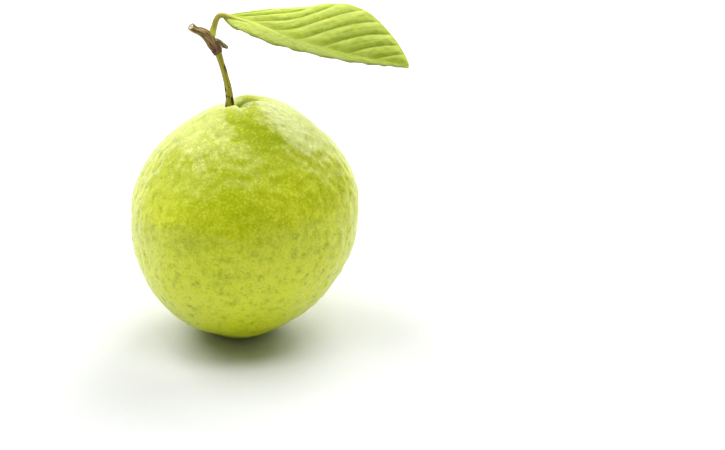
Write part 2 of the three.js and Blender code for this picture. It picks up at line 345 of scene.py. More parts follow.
def waxy_guava_skin():
    """Guava skin is a thin green rind under a natural wax. The wax gives a soft broad gloss that fine
    bumps break up, and the flesh glows a little through it. The green is mottled, streaked and dotted
    with oil glands. It is painted pale where the wax bloom is thick, as painted sheen, and it is deep and
    dull where it is rubbed. Painted light makes it lighter lower down; painted shade makes it darker on
    top, in the hollows, down the furrow and underneath; painted glints and a painted highlight lie on the
    front lobe and on the lips."""
    skin, shader = finish("waxy_guava_skin", {
        "IOR": 1.45,
        "Coat Weight": 0.1,
        "Coat Roughness": 0.3,
        "Coat IOR": 1.45,
        "Subsurface Weight": 0.25,
        "Subsurface Radius": (1.0, 1.0, 0.3),
        "Subsurface Scale": 2.0 * MM,
    })
    names = ("hollow", "calyx", "crown", "ripe", "furrow", "bloom", "worn", "lip", "flecked")
    fields = [node(skin, "Attribute", {}, attribute_name=name).outputs["Fac"] for name in names]
    hollow, calyx, crown, ripe, furrow, bloom, worn, lip, flecked = fields
    place = node(skin, "TexCoord", {}).outputs["Object"]

    # Broad patches, mottles, upright fibres and a fine grain, on skin painted lighter towards the bottom as
    # painted light.
    patches = node(skin, "TexNoise", {"Vector": place, "Scale": per(17), "Detail": 3.0, "Roughness": 0.55})
    mottles = node(skin, "TexNoise", {"Vector": place, "Scale": per(3.2), "Detail": 4.0, "Roughness": 0.6})
    upright = node(skin, "Mapping", {"Vector": place, "Scale": (1.0, 1.0, 0.28)})
    fibres = node(skin, "TexNoise", {"Vector": upright, "Scale": per(1.5), "Detail": 3.0, "Roughness": 0.6})
    grain = node(skin, "TexNoise", {"Vector": place, "Scale": per(0.9), "Detail": 2.0, "Roughness": 0.7})
    paint = tinted(skin, colour("c3ce04"), "dde610", patches, 0.38, 0.66)
    # Painted light: lighter and yellower towards the bottom.
    paint = tinted(skin, paint, "ecf608", ripe, most=0.7)
    paint = tinted(skin, paint, "eaef48", mottles, 0.5, 0.68, most=0.65)
    paint = tinted(skin, paint, "e8ee34", fibres, 0.52, 0.72, most=0.5)
    # Painted sheen: a pale patch on the left flank, where the wax bloom is thickest.
    paint = tinted(skin, paint, "dce26c", bloom, most=0.55)
    # Painted shade: darker and greener towards the top.
    paint = tinted(skin, paint, "b0bb10", crown, most=0.8)
    # Deeper green where the skin is rubbed; the same tint is painted shade down the furrow and on the
    # underside.
    paint = tinted(skin, paint, "a9b800", worn, most=0.65)
    # Painted shade down the furrow.
    paint = tinted(skin, paint, "a2b200", furrow, most=0.9)
    paint = tinted(skin, paint, "9db000", mottles, 0.5, 0.3, most=0.65)
    paint = tinted(skin, paint, "f0f45c", grain, 0.53, 0.73, most=0.6)
    paint = tinted(skin, paint, "9cae06", grain, 0.47, 0.27, most=0.6)

    # Oil glands are about 0.2 mm wide and 1 mm apart. They are drawn 0.5 mm wide and 1.3 mm apart to show.
    glands = node(skin, "TexVoronoi", {"Vector": place, "Scale": per(1.3), "Randomness": 1.0})
    dots = node(skin, "MapRange", {"Value": glands, "From Min": 0.28, "From Max": 0.12, "To Max": 0.22})
    paint = tinted(skin, paint, "94a602", dots)

    # Painted highlights: pale glints on the front lobe and on the lips of the folds. Painted shade in the
    # hollows, and the brown stain of the blossom end.
    flecks = node(skin, "TexNoise", {"Vector": place, "Scale": per(2.2), "Detail": 3.0, "Roughness": 0.7})
    flecks = node(skin, "MapRange", {"Value": flecks, "From Min": 0.52, "From Max": 0.64})
    flecks = node(skin, "Math", {0: flecks, 1: flecked}, operation="MULTIPLY")
    # Painted highlight: pale glints on the front lobe.
    paint = tinted(skin, paint, "f0f290", flecks, most=0.65)
    # Painted highlight on the lips of the folds.
    paint = tinted(skin, paint, "f3f6b4", lip, most=0.6)
    # Painted shade in the hollows.
    paint = tinted(skin, paint, "8c9e0a", hollow, 0.15, 0.8, most=0.75)
    paint = tinted(skin, paint, "8c7a32", calyx, 0.5, 0.95, most=0.85)

    relief = node(skin, "Math", {0: mottles, 1: grain}, operation="ADD")
    relief = node(skin, "Math", {0: relief, 1: dots}, operation="SUBTRACT")
    bump = node(skin, "Bump", {"Height": relief, "Distance": 0.1 * MM, "Strength": 1.0})
    gloss = node(skin, "MapRange", {
        "Value": mottles, "From Min": 0.3, "From Max": 0.7, "To Min": 0.26, "To Max": 0.36,
    })
    rough = node(skin, "Mix", {"Factor": furrow, "A": gloss, "B": 0.6}, data_type="FLOAT")
    sheen = node(skin, "MapRange", {"Value": worn, "To Min": 0.5, "To Max": 0.1})
    wire(shader, {"Base Color": paint, "Normal": bump, "Roughness": rough, "Specular IOR Level": sheen})
    return skin


share = (np.arange(SKIN_ROWS)[:, None] + 0.5) / SKIN_ROWS
fall = np.pi * (share - SKIN_DENSER * np.sin(2 * np.pi * share))
turn = 2 * np.pi * np.arange(SKIN_COLUMNS)[None, :] / SKIN_COLUMNS
fall, turn = np.broadcast_arrays(fall, turn)
plain = shaped(fall, turn)
x, y, z = np.moveaxis(plain, -1, 0)

# Relief of the skin: broad swellings, bumps, upright pleats on the flanks and level ones on the crown.
high = smooth(*CROWN_BUMPS, z) * (1 - 0.5 * smooth(*SMOOTHER_LOBE, x))
flank = smooth(15, 30, z) * smooth(88, 75, z)
growth = 0.18 * waves(plain, 20, 165)
growth += 0.065 * waves(plain, 6, 413)
growth += (0.026 + 0.02 * high) * waves(plain, 2.8, 13)
growth += 0.055 * flank * waves(plain, 4.0, 14, stretch=(1, 1, 5))
growth += 0.05 * high * waves(plain, 3.4, 15, stretch=(2.5, 2.5, 1))
growth += 0.06 * flank * smooth(24, 36, np.abs(x)) * waves(plain, 2.6, 16, stretch=(1, 1, 6))
dent = np.hypot((x - DENT[0]) / DENT[2], (z - DENT[1]) / DENT[3])
growth -= DENT[4] * bell(dent, 1) * (y < 0)
from_stalk = np.hypot(x - STEM[0], y - STEM[1])
folded = sum(fold_relief(fold, x, y) for fold in FOLDS) * ((z > ON_CROWN) * smooth(1.8, 3.4, from_stalk))
growth += folded
skin_rings = plain + (growth - SKIN_INSET)[..., None] * outward(plain)
skin_rings[..., 2] = 0.5 * (skin_rings[..., 2] + np.hypot(skin_rings[..., 2], SPOT_BLEND))

# Painted shade: the skin is painted darker in the first crease, in the pit, behind the lip, down the furrow
# and on the underside. The rubbed patch in front is the skin's own deeper green.
behind_lip = smooth(1.3, 1.75, crease_depth(CREASES[0], x, y))
in_pit = bell(np.hypot(x - PIT_CORNER[0], y - PIT_CORNER[1]), PIT_CORNER[2])
shade = (z > ON_CROWN) * (behind_lip + in_pit - fold_relief(LIP_SHADOW, x, y))
reach, height, _ = in_basin(skin_rings)
ragged = 0.55 * waves(plain, 4, 71) + 0.3 * waves(plain, 1.8, 72)
furrow = np.prod([fold_relief(edge, x + ragged, y + ragged) for edge in FURROW], axis=0)
furrow = np.clip(1.6 * furrow, 0, 1) * (z > ABOVE_WAIST) * smooth(*FURROW_STARTS, from_stalk)
worn = bell(np.linalg.norm(plain - WORN[0], axis=-1) + 3 * ragged, WORN[1])
fruit = closed_piece(
    "fruit_skin_and_flesh", skin_rings, waxy_guava_skin(),
    # Painted shade in the hollows.
    hollow=np.clip(-0.35 * folded + shade, 0, 1),
    # Painted highlight on the lips of the folds.
    lip=np.clip(3 * folded, 0, 1),
    calyx=smooth(6.5, 3.5, reach) * (height > -6),
    # Painted shade on the top.
    crown=smooth(50, 95, z),
    # Painted light on the lower part.
    ripe=smooth(*RIPER, z),
    # Painted highlights on the front lobe.
    flecked=bell(np.linalg.norm(plain - FLECKED[0], axis=-1), FLECKED[1]),
    # Painted sheen on the left flank.
    bloom=bell(np.linalg.norm(plain - BLOOM[0], axis=-1), BLOOM[1]),
    # Painted shade down the furrow.
    furrow=furrow,
    # The rubbed patch, plus painted shade down the furrow and on the underside.
    worn=np.clip(worn + furrow + 0.7 * smooth(*DULLER, z), 0, 1),
)
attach(fruit, "root")
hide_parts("fruit")


# ---- Blossom end --------------------------------------------------------------------------------
# What is left of the flower in the basin: five dried calyx lobes that lean in from its wall, and the foot
# of the style in the middle. All of it is brown, papery and brittle, and no two lobes dried alike.

SEPALS = 5
SEPAL_ROOT = 5.3  # radii of the lobes' roots and of their tips
SEPAL_TIP = 1.9
SEPAL_HALF_ANGLE = math.radians(29)
SEPAL_THICKNESS = 0.5
SEPAL_ARCH = 1.0
SEPAL_LIFT = 0.6  # height of a lobe's root over the skin
STYLE_LIFT = 0.3  # and of the style's foot
STYLE_HEIGHT = 1.9
STYLE_RADIUS = 0.55
STYLE_SHAPE = [0.2, 1.4, 1.1, 1.0, 0.9, 0.8, 0.85, 0.3]  # its radii from foot to tip, in style radii


def basin_place(reach, turn, height):
    """A place in the basin from its radius, its turn round the blossom axis and its height along it."""
    flat = np.cos(turn)[..., None] * blossom_side + np.sin(turn)[..., None] * blossom_up
    return blossom_centre + reach[..., None] * flat + height[..., None] * blossom_out


def sepal(number):
    """Rings of a dried lobe, and how far along it each ring lies. A flat oval section narrows from root
    to tip, arched lengthwise and curled up at its torn edges. No two lobes get the same shape."""
    longer = np.sin(2.4 * number + 1)
    skewed = np.cos(4.1 * number)
    share = np.linspace(0, 1, 26)[:, None]
    section = 2 * np.pi * np.arange(40)[None, :] / 40
    across, thick = np.cos(section), np.sin(section)
    middle = (number + 0.25) / SEPALS * 2 * np.pi
    narrow = (1 - 0.55 * share) * (1 - smooth(0.8, 1.02, share) * 0.9)
    reach = mix(SEPAL_ROOT, SEPAL_TIP + 0.4 * (1 - longer), share)
    reach = reach + 0.3 * np.cos(4 * across + number) * share
    reach = reach + 0.2 * np.cos(11 * across + 2 * number) * share ** 3
    reach = reach - 0.3 * (1 - share) ** 3 * (1 + np.cos((5 + skewed) * across + 2 * number))
    torn = 0.05 * np.sin(14 * share + number) + 0.04 * np.sin(31 * share + 3 * number)
    torn = torn - 0.1 * (1 + skewed)
    turn = middle + (0.97 + torn) * across * SEPAL_HALF_ANGLE * narrow + 0.16 * skewed * share
    foot = basin_height(SEPAL_ROOT) + SEPAL_LIFT
    bend = SEPAL_ARCH * np.sin(0.75 * np.pi * share) - (1.1 - 0.3 * skewed) * share
    curl = (0.45 + 0.3 * longer) * across ** 2 * share + 0.25 * skewed * across * share
    curl = curl + 0.07 * np.cos(9 * across + number) + 0.06 * np.cos(23 * across - number) * share
    height = foot + bend + curl + 0.5 * SEPAL_THICKNESS * thick * (1 - 0.7 * across ** 2)
    return basin_place(*np.broadcast_arrays(reach, turn, height)), share + 0 * across


def dried_calyx():
    """Dried calyx tissue is dull brown and papery: blotched, finely fibrous and darker towards the tips."""
    brown, shader = finish("dried_calyx", {"IOR": 1.4, "Specular IOR Level": 0.3})
    place = node(brown, "TexCoord", {}).outputs["Object"]
    along = node(brown, "Attribute", {}, attribute_name="along").outputs["Fac"]
    blotch = node(brown, "TexNoise", {"Vector": place, "Scale": per(1.2), "Detail": 4.0})
    fibre = node(brown, "TexNoise", {"Vector": place, "Scale": per(0.35), "Detail": 2.0})
    paint = tinted(brown, colour("5a4423"), "8d7440", blotch, 0.35, 0.65)
    paint = tinted(brown, paint, "35240f", along, 0.5, 1.0, most=0.75)
    relief = node(brown, "Math", {0: blotch, 1: fibre}, operation="ADD")
    bump = node(brown, "Bump", {"Height": relief, "Distance": 0.12 * MM})
    rough = node(brown, "MapRange", {"Value": fibre, "To Min": 0.75, "To Max": 0.95})
    wire(shader, {"Base Color": paint, "Normal": bump, "Roughness": rough})
    return brown


calyx_finish = dried_calyx()
for number in range(SEPALS):
    rings, along = sepal(number)
    lobe = closed_piece(f"calyx_lobe_{number + 1}", rings, calyx_finish, along=along)
    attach(lobe, "root")
    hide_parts(f"sepal_{number + 1}")


def curve(line, share):
    """Places and directions along a smooth curve through the line's points, at shares of its length, and
    that length. Between two points each coordinate is a cubic, timed by the square root of their gap."""
    points = np.array(line, float)
    padded = np.vstack([2 * points[0] - points[1], points, 2 * points[-1] - points[-2]])
    step = np.sqrt(np.linalg.norm(np.diff(padded, axis=0), axis=1))[:, None]
    rate = np.diff(padded, axis=0) / step
    slope = rate[:-1] + rate[1:] - (padded[2:] - padded[:-2]) / (step[:-1] + step[1:])
    t = np.linspace(0, 1, 40, endpoint=False)[None, :, None]
    start, end = points[:-1, None], points[1:, None]
    leave, arrive = (slope[:-1] * step[1:-1])[:, None], (slope[1:] * step[1:-1])[:, None]
    spans = start + leave * t + (3 * (end - start) - 2 * leave - arrive) * t ** 2
    spans = spans + (2 * (start - end) + leave + arrive) * t ** 3
    dense = np.vstack([spans.reshape(-1, 3), points[-1:]])
    length = np.append(0, np.cumsum(np.linalg.norm(np.diff(dense, axis=0), axis=1)))
    ahead = np.gradient(dense, length, axis=0)

    def read(values):
        return np.stack([np.interp(share * length[-1], length, column) for column in values.T], -1)

    return read(dense), unit(read(ahead)), length[-1]


def limb(line, share, turn, reach, lift=0.0):
    """Rings round a smooth curve: at each share of it, reach from its middle in the direction turn, which
    starts on the side nearest to +Y. lift moves a ring ahead along the curve."""
    place, ahead, _ = curve(line, share)
    side = unit(np.array([0, 1, 0]) - ahead * ahead[..., 1:2])
    up = np.cross(side, ahead)
    reach, turn, lift = np.broadcast_arrays(reach, turn, lift)
    away = np.cos(turn)[..., None] * side + np.sin(turn)[..., None] * up
    return place + lift[..., None] * ahead + reach[..., None] * away


def between(values, share):
    """Values read at shares of an evenly spaced list, joined by straight lines."""
    return np.interp(share, np.linspace(0, 1, len(values)), values)


def basin_line(points):
    """Points given as radius, turn and height in the basin, in the fruit's own frame."""
    reach, turn, height = np.array(points, float).T
    return basin_place(reach, turn, height)


share = np.linspace(0, 1, 24)[:, None]
turn = 2 * np.pi * np.arange(24)[None, :] / 24
foot = -BASIN_DEPTH + STYLE_LIFT
style_line = basin_line([(0, 0, foot), (0.15, 1, foot + 0.5 * STYLE_HEIGHT), (0.3, 1, foot + STYLE_HEIGHT)])
style_reach = between(STYLE_SHAPE, share) * STYLE_RADIUS * (1 + 0.08 * np.cos(5 * turn))
style = closed_piece(
    "style_remnant", limb(style_line, share, turn, style_reach), calyx_finish,
    along=share + 0 * turn,
)
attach(style, "root")
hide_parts("style_remnant")


# ---- Fruit stalk --------------------------------------------------------------------------------
# The green stalk that the fruit hung from: a slim, tough, slightly angular stem, wider where it enters
# the fruit and where it joins the twig. It has dark flecks of cork, most of them near the fruit.

STALK_LINE = [
    (-0.7, -1.0, 89.0), (-0.65, -1.0, 94.4), (-0.85, -1.0, 97.3), (-1.55, -0.8, 101.1),
    (-2.55, -0.5, 104.9), (-3.6, -0.2, 108.9), (-4.4, 0.0, 111.8),
]
STALK_RADII = [1.9, 1.75, 1.5, 1.42, 1.25, 1.17, 1.2, 1.4, 1.5]
# Flecks of cork: height, turn round the stalk in degrees, half length, half width and strength.
FLECKS = [
    (105.4, 114, 2.1, 0.75, 1.0), (97.8, 238, 1.0, 0.55, 0.9), (95.3, 234, 0.8, 0.7, 0.95),
    (93.7, 132, 1.4, 1.0, 1.0), (91.9, 112, 1.5, 0.9, 1.0), (91.2, 236, 0.9, 0.8, 0.9),
    (99.6, 100, 3.6, 0.5, 0.62), (98.7, 160, 0.5, 0.4, 0.7), (95.2, 180, 1.0, 0.6, 0.6),
    (102.0, 330, 0.8, 0.4, 0.8), (96.0, 20, 1.2, 0.4, 0.9), (107.8, 300, 0.5, 0.3, 0.8),
]


def tough_green_stem():
    """A green stem is smooth, waxy bark over fibres: satin, streaked along its length, with corky brown
    flecks. The limb's own coordinates are millimetres, so a pattern's scale is 1 / millimetres."""
    stem, shader = finish("tough_green_stem", {
        "IOR": 1.45,
        "Subsurface Weight": 0.1,
        "Subsurface Radius": (1.0, 1.0, 0.3),
        "Subsurface Scale": 0.8 * MM,
    })
    place = node(stem, "Attribute", {}, attribute_name="limb").outputs["Vector"]
    fleck = node(stem, "Attribute", {}, attribute_name="fleck").outputs["Fac"]
    foot = node(stem, "Attribute", {}, attribute_name="foot").outputs["Fac"]
    lengthwise = node(stem, "Mapping", {"Vector": place, "Scale": (1.0, 1.0, 0.16)})
    fibre = node(stem, "TexNoise", {"Vector": lengthwise, "Scale": 1.6, "Detail": 3.0})
    blotch = node(stem, "TexNoise", {"Vector": place, "Scale": 0.55, "Detail": 3.0})
    paint = tinted(stem, colour("938a12"), "beb838", fibre, 0.32, 0.68)
    paint = tinted(stem, paint, "94822a", blotch, 0.5, 0.7, most=0.5)
    paint = tinted(stem, paint, "797006", foot, most=0.6)
    ragged = node(stem, "Math", {0: fleck, 1: blotch}, operation="MULTIPLY")
    edges = {"Value": ragged, "From Min": 0.14, "From Max": 0.36}
    cork = node(stem, "MapRange", edges, interpolation_type="SMOOTHSTEP")
    paint = tinted(stem, paint, "3d2712", cork)
    relief = node(stem, "Math", {0: fibre, 1: cork}, operation="ADD")
    bump = node(stem, "Bump", {"Height": relief, "Distance": 0.08 * MM})
    rough = node(stem, "MapRange", {"Value": cork, "To Min": 0.42, "To Max": 0.8})
    wire(shader, {"Base Color": paint, "Normal": bump, "Roughness": rough})
    return stem


def own_place(line, share, turn, radius):
    """A limb's own straightened coordinates: round it and along it, without a seam."""
    length = curve(line, np.zeros(1))[2]
    radius, turn, along = np.broadcast_arrays(radius, turn, share * length)
    return np.stack([radius * np.cos(turn), radius * np.sin(turn), along], -1)


share = np.linspace(0, 1, 150)[:, None]
turn = 2 * np.pi * np.arange(48)[None, :] / 48
radius = between(STALK_RADII, share)
own = own_place(STALK_LINE, share, turn, radius)
heights = curve(STALK_LINE, share)[0][..., 2]
fleck = np.zeros(own.shape[:2])
for height, at, half_length, half_width, strength in FLECKS:
    apart = np.abs((turn - math.radians(at) + np.pi) % (2 * np.pi) - np.pi) * radius
    distance = np.hypot((heights - height) / half_length, apart / half_width)
    fleck = np.maximum(fleck, strength * bell(distance, 1))
angular = radius * (1 + 0.03 * np.cos(4 * turn + 3 * share))
stalk_reach = angular + 0.045 * waves(own, 1.4, 21, stretch=(1, 1, 6)) + 0.04 * fleck - 0.1
stalk = closed_piece(
    "fruit_stalk_bark", limb(STALK_LINE, share, turn, stalk_reach), tough_green_stem(),
    limb=own, fleck=fleck, foot=smooth(97, 91, heights) + 0 * turn,
)
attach(stalk, "root")
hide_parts("fruit_stalk")


# ---- Twig and bud stub --------------------------------------------------------------------------
# The short end of a woody twig, one or two years old and cut across at its upper end. Its bark is brown,
# ridged and split along its length, and purplish at the swollen node where the stalk leaves. The dried
# stub of a bud sticks out beside it.

TWIG_LINE = [
    (-4.25, 0.0, 111.0), (-5.2, 0.0, 113.1), (-6.25, -0.2, 114.9), (-7.55, -0.6, 117.0),
    (-9.4, -1.1, 119.0), (-11.8, -1.7, 120.4), (-13.7, -2.2, 121.7),
]
TWIG_RADII = [1.6, 2.1, 2.35, 2.3, 2.0, 1.9, 1.85, 1.7, 1.5, 1.45, 1.5]
STUB_LINE = [(-4.7, -0.9, 116.2), (-3.4, -1.2, 115.6), (-2.0, -2.0, 114.6), (-0.5, -2.8, 113.9)]
STUB_RADII = [0.95, 0.9, 0.8, 0.85, 0.7]


def ridged_twig_bark(name, valley, crest, youngest, wood):
    """Young guava bark is dry and matt: tan on its ridges, dark in the splits between them, and purplish
    brown where it is youngest. The cut end shows pale wood with a small pith."""
    bark, shader = finish(name, {"IOR": 1.45, "Specular IOR Level": 0.35})
    place = node(bark, "Attribute", {}, attribute_name="limb").outputs["Vector"]
    ridge = node(bark, "Attribute", {}, attribute_name="ridge").outputs["Fac"]
    young = node(bark, "Attribute", {}, attribute_name="young").outputs["Fac"]
    cut = node(bark, "Attribute", {}, attribute_name="cut").outputs["Fac"]
    lengthwise = node(bark, "Mapping", {"Vector": place, "Scale": (1.0, 1.0, 0.2)})
    fibre = node(bark, "TexNoise", {"Vector": lengthwise, "Scale": 2.6, "Detail": 4.0, "Roughness": 0.6})
    blotch = node(bark, "TexNoise", {"Vector": place, "Scale": 0.6, "Detail": 3.0})
    uneven = node(bark, "Math", {0: ridge, 1: fibre}, operation="ADD")
    paint = tinted(bark, colour(valley), crest, uneven, 0.6, 1.35)
    purple = node(bark, "Math", {0: young, 1: blotch}, operation="MULTIPLY")
    paint = tinted(bark, paint, youngest, purple, 0.15, 0.5, most=0.85)
    # From the cut face's edge inwards: dark bark, wood and pith.
    paint = tinted(bark, paint, "4b4334", cut, 0.0, 0.1, most=0.8)
    paint = tinted(bark, paint, wood, cut, 0.16, 0.34)
    paint = tinted(bark, paint, "7d6136", cut, 0.82, 0.95)
    bump = node(bark, "Bump", {"Height": fibre, "Distance": 0.15 * MM})
    rough = node(bark, "MapRange", {"Value": fibre, "To Min": 0.65, "To Max": 0.9})
    wire(shader, {"Base Color": paint, "Normal": bump, "Roughness": rough})
    return bark


def cut_rows(rows, cap_rows):
    """Rows along a limb, then rows that close its end: the share of its length at each, and how far it
    has gone in towards the middle, 0 to 1."""
    share = np.append(np.linspace(0, 1, rows), np.ones(cap_rows))[:, None]
    inward = np.append(np.zeros(rows), np.linspace(0, 1, cap_rows + 1)[1:])[:, None]
    return share, inward


share, inward = cut_rows(110, 16)
turn = 2 * np.pi * np.arange(72)[None, :] / 72
radius = between(TWIG_RADII, share)
own = own_place(TWIG_LINE, share, turn, radius)
ridges = waves(own, 1.2, 31, stretch=(1, 1, 6)) + 0.6 * waves(own, 0.7, 32, stretch=(1, 1, 4))
rings_round = bell(share - 0.09, 0.02) + 0.6 * bell(share - 0.31, 0.015)
collar = 0.16 * rings_round * (1 + 0.3 * waves(own, 2.0, 33))
bark_reach = radius + 0.075 * ridges + collar + 0.08 * waves(own, 3.0, 34) - 0.12
cut_reach = bark_reach * (1 - np.clip(inward, 0, 0.985))
slant = -0.4 * np.cos(turn - 2.2) * cut_reach * smooth(0.75, 1, share)
# The cut face: a lip of bark round it, the wood a little lower and the pith lower still.
face_lift = slant + 0.18 * smooth(0, 0.12, inward) - 0.22 * smooth(0.1, 0.3, inward)
face_lift = face_lift - 0.15 * smooth(0.75, 0.95, inward)
twig_rings = limb(TWIG_LINE, share, turn, cut_reach, face_lift)
bark = ridged_twig_bark("ridged_twig_bark", "66502c", "ad925e", "5a3238", "d8cf9c")
twig = closed_piece(
    "twig_bark_and_wood", twig_rings, bark, limb=own,
    ridge=0.5 + 0.25 * ridges, young=smooth(0.42, 0.12, share) + 0 * turn, cut=inward + 0 * turn,
)
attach(twig, "root")
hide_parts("twig")

share, inward = cut_rows(50, 10)
turn = 2 * np.pi * np.arange(40)[None, :] / 40
radius = between(STUB_RADII, share)
own = own_place(STUB_LINE, share, turn, radius)
ridges = waves(own, 0.9, 41, stretch=(1, 1, 4))
round_end = np.sqrt(np.clip(1 - inward ** 2, 0.0004, 1))
stub_reach = (radius + 0.07 * ridges + 0.1 * bell(share - 0.72, 0.05) - 0.08) * round_end
stub_rings = limb(STUB_LINE, share, turn, stub_reach, -0.35 + 0.35 * inward)
bark = ridged_twig_bark("dry_bud_scales", "5c4f2a", "a79a6c", "55452c", "8e866c")
stub = closed_piece(
    "dried_bud_stub", stub_rings, bark, limb=own,
    ridge=0.5 + 0.25 * ridges, young=0 * share + 0 * turn, cut=0 * share + 0 * turn,
)
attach(stub, "root")
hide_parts("bud_stub")


# ---- Leaf ---------------------------------------------------------------------------------------
# One young leaf, grown in one piece: a short leaf stalk that runs on as the midrib, and a thin blade
# folded up from it. Its side veins are sunk on top and raised below, and the blade swells between them.

PETIOLE_LINE = [
    (-6.7, 0.1, 117.0), (-6.25, 0.2, 118.6), (-5.55, 0.5, 121.2), (-4.8, 0.7, 123.5),
    (-3.4, 0.4, 125.2), (-1.1, -0.3, 125.4),
]
MIDRIB_LINE = [
    (-2.7, 0.2, 125.5), (4.5, -2.6, 124.4), (12.3, -6.0, 122.7), (22.5, -10.6, 119.3),
    (35.0, -16.1, 117.1), (50.5, -23.3, 115.2), (65.0, -30.0, 114.8),
]
LEAF_HALF_WIDTH = 19.6
LEAF_SHARPNESS = 0.85  # the blade falls almost straight to its tip
LEAF_THICKNESS = 0.36
LEAF_ARCH = 0.07
FAR_RISE = (math.radians(15), math.radians(54))  # slope of the far half, at the base and towards the tip
NEAR_RISE = (math.radians(14.5), math.radians(-34))  # slope of the near half, and at its drooping base
NEAR_DROOP = 0.13  # share of the leaf over which the droop goes
VEIN_SPACING = 10.2
VEIN_START = 9.3  # first side vein of the far half, from the blade's base
VEIN_SHIFT = 1.8  # how much later those of the near half start
VEIN_LEAD = 32  # how far a side vein runs on towards the tip by the time it reaches the margin
VEIN_SQUEEZE = 75  # where the veins crowd together before the tip
PANEL_SWELL = 0.6  # height of the swelling between two veins
BLADE_RUN = (0.015, 0.995)  # the blade's first and last rows, as shares of the midrib


def leaf_half_width(share):
    """Half width of the blade: it rises straight from the base and falls almost straight to the tip."""
    widest = 1 / (1 + LEAF_SHARPNESS)
    shape = share * (1 - share) ** LEAF_SHARPNESS
    return np.maximum(0.3, LEAF_HALF_WIDTH * shape / (widest * (1 - widest) ** LEAF_SHARPNESS))


def blade_frame(share, across):
    """Places on the blade's middle layer and the directions square to it. share runs along the midrib,
    across from -1 on the near edge to 1 on the far edge. Each half has its own slope and slight arch."""
    middle, ahead, _ = curve(MIDRIB_LINE, share)
    far = unit(np.stack([-ahead[..., 1], ahead[..., 0], 0 * ahead[..., 0]], -1))
    up = np.cross(ahead, far)
    grown = smooth(0, 0.8, share)
    rise = np.where(across > 0, mix(*FAR_RISE, grown), mix(*NEAR_RISE, np.exp(-share / NEAR_DROOP)))
    half = leaf_half_width(share)
    reach = np.abs(across) * half
    arch = LEAF_ARCH * half * np.sin(np.pi * np.abs(across))
    side = np.sign(across)[..., None] * far
    place = middle + side * (reach * np.cos(rise) - arch * np.sin(rise))[..., None]
    place = place + up * (reach * np.sin(rise) + arch * np.cos(rise))[..., None]
    square = up * np.cos(rise)[..., None] - side * np.sin(rise)[..., None]
    return place, square


def soft_leaf_blade():
    """A young guava leaf is thin and soft, dull on top and paler below, and light comes through it. Its
    side veins are pale lines with a net of fine veins between them. Painted shade makes each panel darker
    towards one of its veins, and the near half deeper in tone, with olive lines beside its midrib and
    margin."""
    leaf, shader = finish("soft_leaf_blade", {
        "IOR": 1.4,
        "Specular IOR Level": 0.2,
        "Subsurface Weight": 0.5,
        "Subsurface Radius": (1.0, 1.0, 0.35),
        "Subsurface Scale": 0.5 * MM,
    })
    names = ("vein", "panel", "near", "fold", "upper")
    fields = [node(leaf, "Attribute", {}, attribute_name=name).outputs["Fac"] for name in names]
    vein, panel, near, fold, upper = fields
    place = node(leaf, "Attribute", {}, attribute_name="blade").outputs["Vector"]
    cloud = node(leaf, "TexNoise", {"Vector": place, "Scale": 1 / 7, "Detail": 3.0})
    paint = tinted(leaf, colour("b3c440"), "c9d664", cloud, 0.35, 0.65)
    # Painted shade: each panel is darker towards one of its veins, in patches.
    patchy = node(leaf, "Math", {0: panel, 1: cloud}, operation="MULTIPLY")
    paint = tinted(leaf, paint, "94ab14", patchy, 0.14, 0.5, most=0.9)
    spots = node(leaf, "TexNoise", {"Vector": place, "Scale": 1 / 2.5, "Detail": 2.0})
    paint = tinted(leaf, paint, "d2d42a", spots, 0.64, 0.72, most=0.6)
    # The net of fine veins has cells about 1.3 mm across.
    wander = node(leaf, "TexNoise", {"Vector": place, "Scale": 1 / 2, "Detail": 1.0}).outputs["Color"]
    bent = node(leaf, "Mix", {"Factor": 0.25, "A": place, "B": wander}, data_type="VECTOR")
    net = node(leaf, "TexVoronoi", {"Vector": bent, "Scale": 0.75}, feature="DISTANCE_TO_EDGE")
    line = node(leaf, "MapRange", {"Value": net, "From Min": 0.12, "From Max": 0.02, "To Max": 0.35})
    paint = tinted(leaf, paint, "bdc86c", line)
    paint = tinted(leaf, paint, "ccd474", vein, 0.2, 0.85, most=0.8)
    # Painted shade: the near half is darker olive.
    paint = tinted(leaf, paint, "707c08", near, most=0.7)
    # Painted shade: olive lines beside the midrib and the margin of the near half.
    paint = tinted(leaf, paint, "5a6408", fold, most=0.85)
    below = node(leaf, "Mix", {"Factor": 0.55, "A": paint, "B": colour("a9b27c")}, data_type="RGBA")
    paint = node(leaf, "Mix", {"Factor": upper, "A": below, "B": paint}, data_type="RGBA")
    relief = node(leaf, "Math", {0: line, 1: cloud}, operation="SUBTRACT")
    bump = node(leaf, "Bump", {"Height": relief, "Distance": 0.08 * MM}, invert=True)
    rough = node(leaf, "MapRange", {"Value": cloud, "To Min": 0.42, "To Max": 0.6})
    wire(shader, {"Base Color": paint, "Normal": bump, "Roughness": rough})
    return leaf


# A ring goes over the upper face from the near edge to the far edge, and back along the lower face.
edge_to_edge = np.linspace(-1, 1, 113)
run = np.linspace(*BLADE_RUN, 190)[:, None]
across = np.concatenate([edge_to_edge, edge_to_edge[::-1]])[None, :]
upper = np.concatenate([np.ones(len(edge_to_edge)), np.zeros(len(edge_to_edge))])[None, :]
run, across, upper = np.broadcast_arrays(run, across, upper)
length = curve(MIDRIB_LINE, np.zeros(1))[2]
half = leaf_half_width(run)
lead = VEIN_LEAD * np.abs(across) * (1 - (run * length / VEIN_SQUEEZE) ** 12)
phase = (run * length - lead - VEIN_START - VEIN_SHIFT * (across < 0)) / VEIN_SPACING
away = np.abs(phase - np.round(phase)) * VEIN_SPACING  # along the midrib, from the nearest side vein
from_middle = np.abs(across) * half
from_margin = half - from_middle
from_rib = smooth(0, 3.5, from_middle)
from_edge = smooth(0, 2.5, from_margin)
finer = bell(VEIN_SPACING / 2 - away, 0.45)  # a weaker vein halfway between two
